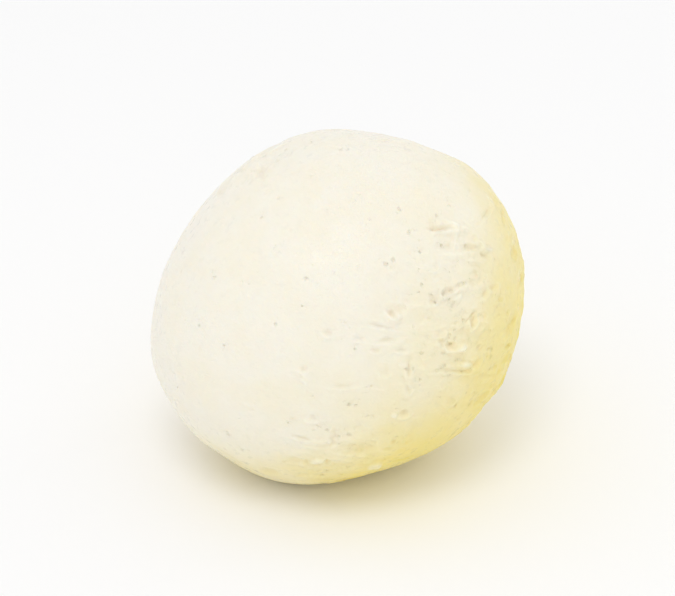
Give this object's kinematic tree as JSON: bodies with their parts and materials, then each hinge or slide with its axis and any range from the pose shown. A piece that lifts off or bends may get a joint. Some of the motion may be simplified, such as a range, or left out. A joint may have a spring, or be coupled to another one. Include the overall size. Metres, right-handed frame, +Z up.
{
  "type": "sponge rasgulla",
  "caption": "Soft ball of fresh curd cheese, a little longer one way than the others, with a pitted sponge skin and a small flat spot to rest on.",
  "frame": {"origin": "on the table under the middle of the ball, at the bottom centre of its box", "axes": "+Z up; -Y is the front, the side that shows the open sponge at its right; +X is to the right seen from the front, the way that the ball is longest"},
  "size_m": [0.0542, 0.0512, 0.0495],
  "materials": {
    "curd": "ivory white sponge of fresh curd cheese, moist and matte, with fine pores"
  },
  "bodies": {
    "root": {"rasgulla": "curd"}
  },
  "joints": []
}
